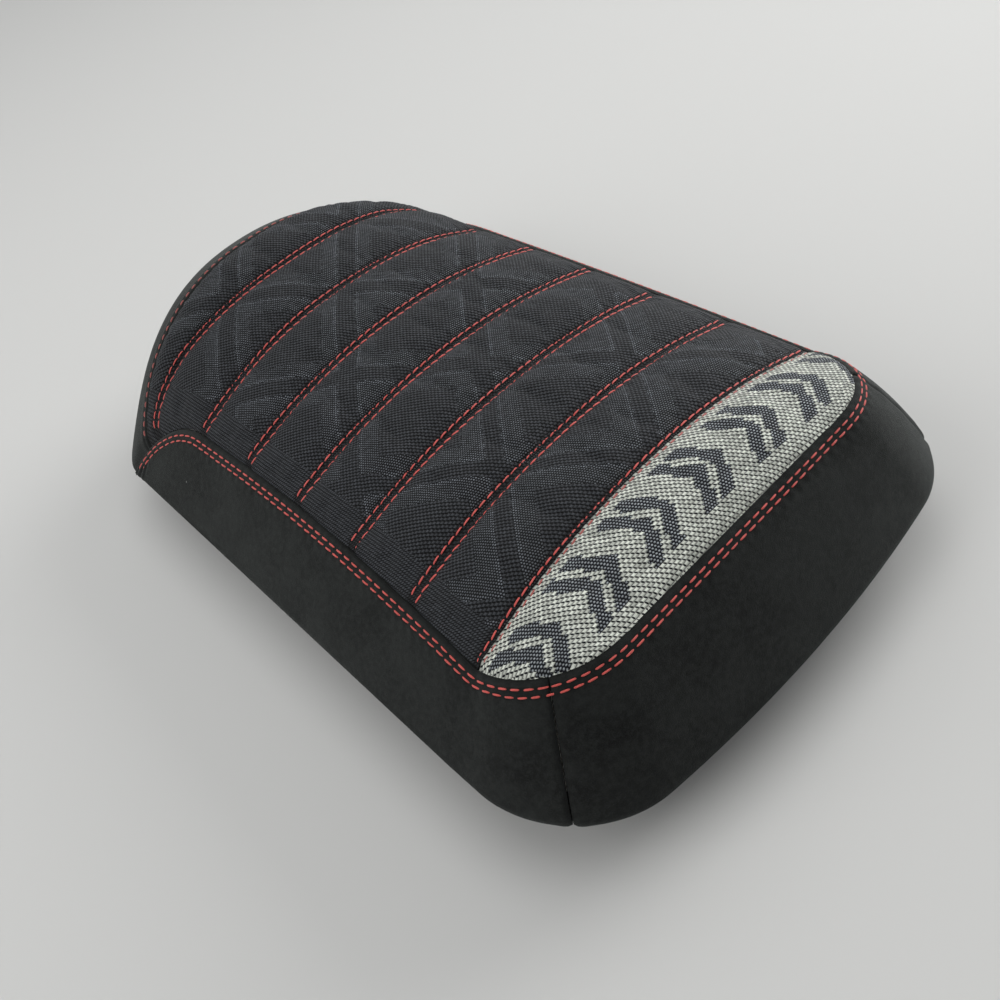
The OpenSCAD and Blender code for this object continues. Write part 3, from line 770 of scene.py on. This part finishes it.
g, n, h, rows, shade_and_edge = woven_top()
h = h + settled(g + n * h[..., None], n, held_points(shade_and_edge, 0.5), slack=0.012)
top = g + n * h[..., None]
piece = sheet_piece("channelled_top", top, top_cloth, FABRIC, cloth_coords(g), shade_and_edge)
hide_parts("top_panel")


band_rows = -np.arcsin(np.linspace(0.005, 1.0, 66)[::-1]) * 2 / np.pi


def woven_band():
    """The band: its seam surface, normals, relief, and its painted shade along the seam with the top, with
    the distance from the edges.
    """
    row = band_rows[:, None]
    s = column_u[None]
    g = seat_point(row, s)
    c = -np.sin(np.pi / 2 * row)
    half = np.abs(g[:, -1:, 0])
    front = BAND_DEPTH * c
    back = BAND_DEPTH * (1 - c)
    u = half * s
    edge = 1 - np.abs(s) ** PAD_FADE
    h = edge * BAND_PAD * bump(c) + wander(row, u, 0.6) * edge * bump(c)
    e = half * (1 - np.abs(s))
    h = h - 0.5 * bell(front - 1.2, 0.9) - 0.2 * bell(front, 1.2) + edge_dive(back) + edge_dive(e)
    h = h + 0.2 * np.cos(2 * math.pi * u / CHANNEL_STITCH) * np.exp(-front / 3)
    # Painted shade along the band's seam with the top, then the distance from the nearest edge.
    return g, normals(g), h + CLOTH_LIFT, np.stack([0.6 * bell(front, 1.3) + 0 * u, np.minimum(e, back)], -1)


bg, bn, bh, shade_and_edge = woven_band()
bh = bh + settled(bg + bn * bh[..., None], bn, held_points(shade_and_edge, 0.2), slack=0.006)
coords = cloth_coords(bg)
coords[..., 1] -= coords[-1:, :, 1]
piece = sheet_piece("band_cover", bg + bn * bh[..., None], band_cloth, FABRIC, coords, shade_and_edge)
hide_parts("accent_band")


def turned(last, inset, level, steps=14):
    """Rows that carry the nose's cloth round the base edge and under it, gathered in small pleats."""
    a = np.radians(90 * column_u)
    rows = []
    for i in range(1, steps + 1):
        q = i / steps
        drop = np.minimum(q * 6, 1)
        pleat = 0.5 * q * np.sin(column_u * 46) * np.abs(np.sin(a)) ** 2
        p = last.copy()
        p[:, 0] -= inset * q * np.sin(a)
        p[:, 1] -= inset * q * np.cos(a)
        p[:, 2] = mix(last[:, 2], level, drop) - pleat * 0.5 + CLOTH_LIFT
        rows.append(p)
    return np.stack(rows)


nose_f = mix(ROW_1 + NOSE_LAP, 1.0, np.linspace(0, 1, 72) ** 1.1)


def nose_cover():
    """The suede nose: its seam surface, normals and relief, and the whole with its turned hem."""
    row = CHANNELS + nose_f[:, None]
    s = column_u[None]
    g = seat_point(row, s)
    n = normals(g)
    front = (nose_length(s) - PITCH) * (nose_f[:, None] - ROW_1 - NOSE_LAP) / (1 - ROW_2)
    h = 0.45 * bell(front - 3.2, 2.6) - 1.2 * bell(front, 1.2) - 0.3 * bell(front - 2.6, 0.7)
    h = h + 0.12 * np.cos(2 * math.pi * g[..., 0] / STITCH) * np.exp(-np.abs(front - 3.5) / 3)
    e = np.abs(g[:, -1:, 0]) * (1 - np.abs(s))
    h = h - 1.2 * bell(e, 1.4)
    h = h + SUEDE_LIFT
    body = g + n * h[..., None]
    hem = turned(body[-1], HEM, 0.0)
    hem[..., 2] = np.maximum(hem[..., 2], -SUEDE_LIFT)
    return g, n, h, np.concatenate([body, hem])


ng, nn, nh, nose = nose_cover()
piece = sheet_piece("nose_cover", nose, suede, SUEDE, cloth_coords(nose))
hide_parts("nose_panel")


# ---------------------------------------------------------------- suede walls

def seam_line(stations):
    """The line of the side and tail seam at its stations, each a row and a column."""
    return np.array([seat_point(r, s) - inward(r, s) * SEAM_GAP for r, s in stations])


def side_stations():
    rows = np.concatenate([
        mix(0.003 - CORNER_SEAM, 0, np.linspace(0, 1, 26)),
        np.linspace(0, CHANNELS, 150)[1:],
        CHANNELS + np.linspace(0, 0.97, 56)[1:]])
    return [(float(r), -1.0) for r in rows]


def tail_stations():
    left = [(float(r), -1.0) for r in -1 + CORNER_SEAM * np.linspace(1, 26, 26) / 26 - 0.003]
    right = [(r, 1.0) for r, _ in left[::-1]]
    middle = [(-1.0, float(s)) for s in np.linspace(1, -1, 104)]
    return right + middle + left


side_seam = seam_line(side_stations())
whole_seam = np.concatenate([side_seam[::-1], seam_line(tail_stations()[::-1]), side_seam * [-1, 1, 1]])


def distance_to(points, line):
    """Distance from each point to a finely sampled line."""
    run = lengths(line)
    fine = np.stack([np.interp(np.arange(0, run[-1], 0.5), run, line[:, k]) for k in range(3)], -1)
    flat = points.reshape(-1, 3)
    out = np.concatenate([np.sqrt(((chunk[:, None] - fine[None]) ** 2).sum(-1).min(1))
                          for chunk in np.array_split(flat, 40)])
    return out.reshape(points.shape[:-1])


def panel(stations, first_seam, last_seam):
    """A wall panel from its seam line down under the pan, with a lapped, twice-stitched upper edge."""
    down, roll, hem = 42, 6, 12
    g = np.stack([wall_section(r, s, down, roll, hem) for r, s in stations])
    n = normals(g)
    run = distance_to(g, whole_seam)
    along = lengths(g[:, 4])[:, None]
    fade = np.clip(g[:, :1, 2] / 14.0, 0.0, 1)
    h = (0.45 * bell(run - 3.5, 3.5) - 0.9 * bell(run, 0.9)) * fade
    h = h - 0.30 * bell(run - ROW_IN, 0.7) - 0.30 * bell(run - ROW_OUT, 0.7)
    pull = bell(run - ROW_IN + 1.2, 1.2) + bell(run - ROW_OUT - 1.5, 2.2)
    h = h + 0.16 * np.cos(2 * math.pi * along / STITCH) * pull * fade
    # groove is painted shade along the seam's valley and both stitch rows; the corner seams add theirs below.
    groove = bell(run, 0.9) + 0.55 * bell(run - ROW_IN, 0.8) + 0.55 * bell(run - ROW_OUT, 0.8)
    for seam, where in ((first_seam, along), (last_seam, along[-1] - along)):
        if seam:
            h = h - 0.60 * bell(where, 0.7) + 0.18 * bell(where - 2.6, 1.8)
            h = h + 0.12 * np.sin(run / 2.1) * bell(where - 3, 3) * (run > 8)
            groove = groove + bell(where, 0.8)
    h = h + 0.35 * np.sin(along / 23.0 + run / 31.0) * np.clip((run - 12) / 20, 0, 1) * (g[..., 2] > 3)
    index = np.arange(g.shape[1])[None]
    pleat = 0.22 * np.sin(along / 2.2) * np.clip((index - down - roll) / hem, 0, 1)
    rub = bell(run - 1.9, 0.8) + bell(g[..., 2] - 1.5, 1.5) * 0.8
    # Painted shade in the grooves, then the rub along the edges.
    shade_and_edge = np.stack([np.clip(groove, 0, 1) + 0 * run, np.clip(rub, 0, 1)], -1)
    skin = SUEDE * np.clip(run / 4.0, 0.25, 1)
    return g + n * (h - pleat)[..., None], run, shade_and_edge, skin


def wall_coords(wall, run):
    """The suede's own coordinates in millimetres: along the seam and away from it."""
    return np.stack([np.broadcast_to(lengths(wall[:, 4])[:, None], run.shape), run], -1)


left_wall, left_run, left_shade_and_edge, left_skin = panel(side_stations()[::-1], False, True)
right_wall = (left_wall * [-1, 1, 1])[::-1]
left_cloth = wall_coords(left_wall, left_run)
for name, node, wall, cloth, shade_and_edge, skin in (
        ("suede_side_left", "side_panel_left", left_wall, left_cloth, left_shade_and_edge, left_skin),
        ("suede_side_right", "side_panel_right", right_wall,
         left_cloth[::-1], left_shade_and_edge[::-1], left_skin[::-1])):
    piece = sheet_piece(name, wall, suede, skin, cloth, shade_and_edge)
    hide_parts(node)

tail_wall, tail_run, tail_shade_and_edge, tail_skin = panel(tail_stations()[::-1], True, True)
piece = sheet_piece("suede_tail", tail_wall, suede, tail_skin, wall_coords(tail_wall, tail_run), tail_shade_and_edge)
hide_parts("tail_panel")


# ---------------------------------------------------------------- stitches

def stitch_mesh(name, stitches, material, radius=0.34):
    """Each stitch is a bowed thread that lies on the cloth and dips into it at both ends."""
    rings, sides = 7, 7
    points, faces, cloth = [], [], []
    for start, end, up in stitches:
        axis = end - start
        length = np.linalg.norm(axis)
        axis = axis / length
        side = np.cross(up, axis)
        side = side / np.linalg.norm(side)
        lift = np.cross(axis, side)
        base = len(points)
        for i in range(rings):
            t = i / (rings - 1)
            bow = 1 - (2 * t - 1) ** 4
            r = radius * (0.45 + 0.55 * min(1, 4 * t + 0.15, 4 * (1 - t) + 0.15))
            centre = start + axis * length * t + lift * (bow * radius * 1.15 - radius * 0.75)
            for k in range(sides):
                a = 2 * math.pi * k / sides
                points.append(centre + side * math.cos(a) * r * 1.15 + lift * math.sin(a) * r * 0.9)
                cloth.append((t * length, k / sides, 0))
        for i in range(rings - 1):
            for k in range(sides):
                a, b = base + i * sides + k, base + i * sides + (k + 1) % sides
                faces.append([a, a + sides, b + sides, b])
        faces.append([base + k for k in range(sides)])
        last = base + (rings - 1) * sides
        faces.append([last + k for k in range(sides)][::-1])
    return add_mesh(name, points, faces, material, np.array(cloth))


def along_path(path, up, pitch, share, slant=0.0, phase=0.0, skip=0.0):
    """Stitches along a path: each covers a share of its pitch and may lie at a slant."""
    run = lengths(path)
    count = int((run[-1] - 2 * skip) / pitch)
    out = []
    for i in range(count):
        a = skip + (i + phase) * pitch + rng.uniform(-0.08, 0.08)
        b = a + pitch * share
        if b > run[-1]:
            break
        p, q = (np.array([np.interp(x, run, path[:, k]) for k in range(3)]) for x in (a, b))
        n = np.array([np.interp((a + b) / 2, run, up[:, k]) for k in range(3)])
        n = n / np.linalg.norm(n)
        side = np.cross(n, (q - p) / np.linalg.norm(q - p))
        out.append((p - side * slant, q + side * slant, n))
    return out


def row_path(g, n, h, rows, target, offset):
    """The line on the cloth that runs across the seat, offset millimetres along it from a seam."""
    points, ups = [], []
    steps = np.linalg.norm(np.diff(g, axis=0), axis=-1)
    dist = np.concatenate([np.zeros((1, g.shape[1])), np.cumsum(steps, axis=0)])
    index = int(np.argmin(np.abs(np.array(rows) - target)))
    surface = g + n * h[..., None]
    for j in range(g.shape[1]):
        at = dist[index, j] + offset
        points.append([np.interp(at, dist[:, j], surface[:, j, k]) for k in range(3)])
        ups.append([np.interp(at, dist[:, j], n[:, j, k]) for k in range(3)])
    return np.array(points), np.array(ups)


def trimmed(path, up, skip):
    """A line across the seat without its last skip millimetres at both ends."""
    keep = np.abs(column_u) < 1 - skip / COLUMN_HALF
    return path[keep], up[keep]


channel_stitches = []
for seam in [*range(1, CHANNELS + 1), CHANNELS + ROW_2]:
    for offset, slant, phase in ((-TWIN, -0.22, 0.0), (TWIN, 0.22, 0.25)):
        path, up = trimmed(*row_path(g, n, h, rows, seam, offset), 1.0)
        channel_stitches += along_path(path, up, CHANNEL_STITCH, 0.90, slant, phase)
path, up = trimmed(*row_path(g, n, h, rows, 0, 1.5), 1.0)
channel_stitches += along_path(path, up, CHANNEL_STITCH, 0.90, slant=0.2)
stitch_mesh("channel_stitching", channel_stitches, red_thread)

path, up = trimmed(*row_path(bg, bn, bh, band_rows, band_rows[-1], -1.1), 1.0)
band_stitches = along_path(path, up, CHANNEL_STITCH, 0.66, slant=0.15, phase=0.3)
stitch_mesh("band_stitching", band_stitches, shaded_red_thread, radius=0.36)

path, up = trimmed(*row_path(ng, nn, nh, nose_f, nose_f[0], 2.6), 2.0)
nose_stitches = along_path(path, up, STITCH, 0.66, slant=0.1)
stitch_mesh("nose_stitching", nose_stitches, shaded_red_thread, radius=0.40)


def surface_tree(*grids):
    """A search tree over the outer faces of the suede walls."""
    points, faces = [], []
    for grid in grids:
        base = len(points)
        points += grid.reshape(-1, 3).tolist()
        faces += [[base + k for k in face] for face in quads(*grid.shape[:2])]
    return BVHTree.FromPolygons(points, faces)


def smoothed(values, width=5):
    """The running mean of each column of a line."""
    kernel = np.ones(width) / width
    padded = np.pad(values, [(width // 2, width // 2), (0, 0)], mode="edge")
    return np.stack([np.convolve(padded[:, k], kernel, "valid") for k in range(3)], -1)


def offset_path(line, distance, tree, turn):
    """The line on the walls beside the seam line, at a distance from it; turn, 1 or -1, gives the side."""
    run = lengths(line)
    at = np.arange(0.5, run[-1] - 0.5, 1.0)
    p = np.stack([np.interp(at, run, line[:, k]) for k in range(3)], -1)
    t = np.gradient(p, axis=0)
    t = t / np.linalg.norm(t, axis=1, keepdims=True)
    path, ups = [], []
    for point, tangent in zip(p, t):
        spot = Vector(point)
        for _ in range(3):
            _, normal, _, _ = tree.find_nearest(spot)
            beside = Vector(tangent).cross(normal).normalized() * turn
            spot = tree.find_nearest(Vector(point) + beside * distance)[0]
        path.append(spot)
        ups.append(tree.find_nearest(spot)[1])
    return smoothed(np.array(path)), smoothed(np.array(ups))


walls = surface_tree(left_wall, right_wall, tail_wall)
middle = len(whole_seam) // 2
_, outward, _, _ = walls.find_nearest(Vector(whole_seam[middle]))
turn = 1.0 if Vector(whole_seam[middle + 1] - whole_seam[middle]).cross(outward).z < 0 else -1.0
perimeter = []
for distance, phase in ((ROW_IN, 0.0), (ROW_OUT, 0.35)):
    path, up = offset_path(whole_seam, distance, walls, turn)
    row = along_path(path, up, STITCH, 0.80, slant=0.08, phase=phase, skip=0.5)
    perimeter += [(start, end, lift) for start, end, lift in row if min(start[2], end[2]) > LOWEST_STITCH]
stitch_mesh("perimeter_stitching", perimeter, red_thread)


# ---------------------------------------------------------------- foam

def foam_copy(node, name, voxel, material):
    """A foam as its solid has it, remeshed with rounded edges."""
    source = frame["nodes"][node]
    piece = add_object(name, source.data.copy())
    piece.matrix_world = source.matrix_world.copy()
    mod = piece.modifiers.new("remesh", "REMESH")
    mod.mode = "VOXEL"
    mod.voxel_size = voxel
    bpy.context.view_layer.update()
    done = bpy.data.meshes.new_from_object(piece.evaluated_get(bpy.context.evaluated_depsgraph_get()))
    piece.modifiers.clear()
    piece.data = done
    piece.data.materials.clear()
    piece.data.materials.append(material)
    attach(piece, "root")
    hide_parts(node)
    return piece


foam_copy("foam_core", "moulded_foam", 0.004, core_foam)
foam_copy("sewing_foam", "channel_foam", 0.0022, sheet_foam)


# ---------------------------------------------------------------- pan and hardware

def threaded_studs():
    """The four studs: chamfered tip, rolled thread, plain neck, shoulder through the strap and flat head."""
    sides, bevel = 28, 0.3
    cut = np.arange(1 - STUD_REACH, -1.0, THREAD_PITCH / 8)
    lower = [(-STUD_REACH, STUD_RADIUS - 1.0), (1 - STUD_REACH, STUD_RADIUS)]
    upper = [(-0.8, STUD_RADIUS), (STRAP_UNDER, STUD_RADIUS),
             (STRAP_UNDER, STUD_SHOULDER), (HEAD_UNDER, STUD_SHOULDER),
             (HEAD_UNDER, STUD_HEAD - bevel), (HEAD_UNDER + bevel, STUD_HEAD),
             (HEAD_TOP - bevel, STUD_HEAD), (HEAD_TOP, STUD_HEAD - bevel)]
    z = np.array([a for a, _ in lower] + list(cut) + [a for a, _ in upper])
    r = np.array([b for _, b in lower] + [STUD_RADIUS] * len(cut) + [b for _, b in upper])
    turn = np.arange(sides) / sides
    depth = np.clip((z + STUD_REACH - 0.6) / 1.2, 0, 1) * np.clip((-1.2 - z) / 1.5, 0, 1)
    groove = 1 - np.abs(2 * np.mod(z[:, None] / THREAD_PITCH - turn[None], 1) - 1)
    radius = r[:, None] - THREAD_DEPTH * depth[:, None] * groove
    angle = 2 * math.pi * turn[None]
    ring = np.stack([radius * np.cos(angle), radius * np.sin(angle), z[:, None] + 0 * angle], -1)
    ring = ring.reshape(-1, 3)
    points, faces = [], []
    for x in (-STUD_X / 2, STUD_X / 2):
        for y in (Y_MID - STUD_Y / 2, Y_MID + STUD_Y / 2):
            base = len(points) * len(ring)
            points.append(ring + [x, y, 0])
            for i in range(len(z) - 1):
                for k in range(sides):
                    a, b = base + i * sides + k, base + i * sides + (k + 1) % sides
                    faces.append([a, b, b + sides, a + sides])
            faces.append([base + k for k in range(sides)][::-1])
            faces.append([base + (len(z) - 1) * sides + k for k in range(sides)])
    return np.concatenate(points), faces


piece = add_mesh("threaded_studs", *threaded_studs(), zinc)
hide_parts("mounting_studs")

plain = {"base_pan": pan_plastic, "strap_front": zinc, "strap_rear": zinc, "strap_rivets": rivet_metal,
         "buffer_front_left": rubber, "buffer_front_right": rubber, "buffer_rear_left": rubber,
         "buffer_rear_right": rubber, "grommet_left": rubber, "grommet_right": rubber, "cover_staples": wire}
for node, material in plain.items():
    for slot in frame["nodes"][node].material_slots:
        slot.material = material


# ---------------------------------------------------------------- stage, light and camera

def backdrop():
    """A plain pale floor."""
    mesh = bpy.data.meshes.new("floor")
    corners = [(x * FLOOR_HALF, y * FLOOR_HALF, 0) for x, y in ((-1, -1), (1, -1), (1, 1), (-1, 1))]
    mesh.from_pydata(corners, [], [[0, 1, 2, 3]])
    floor = add_object("floor", mesh)
    g = Graph("floor_paint")
    g.set(base_color=(0.60, 0.60, 0.585, 1.0), roughness=0.8)
    g.set(specular_ior_level=0.2)
    mesh.materials.append(g.mat)


def lamp(name, place, size, power, spread=180):
    """A square soft lamp aimed at the seat; spread is the full angle of its beam in degrees."""
    data = bpy.data.lights.new(name, "AREA")
    data.shape = "SQUARE"
    data.size = size
    data.energy = power
    data.spread = math.radians(spread)
    obj = add_object(name, data)
    obj.location = place
    obj.rotation_euler = (Vector(SEAT_MIDDLE) - Vector(place)).to_track_quat("-Z", "Y").to_euler()


def photo_camera():
    """The camera at the photograph's viewing angle."""
    yaw, pitch, roll = (math.radians(a) for a in CAMERA_ANGLES)
    back = Vector((math.sin(yaw) * math.cos(pitch), -math.cos(yaw) * math.cos(pitch), math.sin(pitch)))
    right = Vector((0, 0, 1)).cross(back).normalized()
    up = back.cross(right)
    x = math.cos(roll) * right + math.sin(roll) * up
    y = -math.sin(roll) * right + math.cos(roll) * up
    data = bpy.data.cameras.new("camera")
    data.sensor_width = SENSOR
    data.lens = CAMERA_LENS * SENSOR
    data.clip_start = 0.01
    camera = add_object("camera", data)
    camera.matrix_world = Matrix.Translation(CAMERA_PLACE) @ Matrix((x, y, back)).transposed().to_4x4()
    bpy.context.scene.camera = camera


def room(level, towards_back, towards_right):
    """Soft room light that is stronger behind the seat and to its right."""
    sky = bpy.data.worlds.new("room")
    bpy.context.scene.world = sky
    sky.use_nodes = True
    tree = sky.node_tree
    split = tree.nodes.new("ShaderNodeSeparateXYZ")
    tree.links.new(tree.nodes.new("ShaderNodeTexCoord").outputs["Generated"], split.inputs[0])
    total = None
    for socket, factor in ((split.outputs[1], towards_back), (split.outputs[0], towards_right)):
        node = tree.nodes.new("ShaderNodeMath")
        node.operation = "MULTIPLY_ADD"
        tree.links.new(socket, node.inputs[0])
        node.inputs[1].default_value = factor
        node.inputs[2].default_value = level
        if total is not None:
            tree.links.new(total, node.inputs[2])
        total = node.outputs[0]
    background = tree.nodes["Background"]
    background.inputs[0].default_value = (0.97, 0.98, 1.0, 1.0)
    tree.links.new(total, background.inputs[1])


backdrop()
photo_camera()
lamp("ceiling", (0.15, 0.0, 1.35), size=1.2, power=5.2)
lamp("window", (0.60, 1.30, 1.05), size=1.35, power=1.8, spread=120)
lamp("left_wall", (-1.40, 0.42, 1.03), size=1.2, power=6.2, spread=120)
lamp("right_wall", (1.65, 0.0, 0.63), size=1.2, power=9.0, spread=100)
room(level=0.34, towards_back=0.18, towards_right=0.06)
bpy.context.scene.view_settings.view_transform = "Standard"
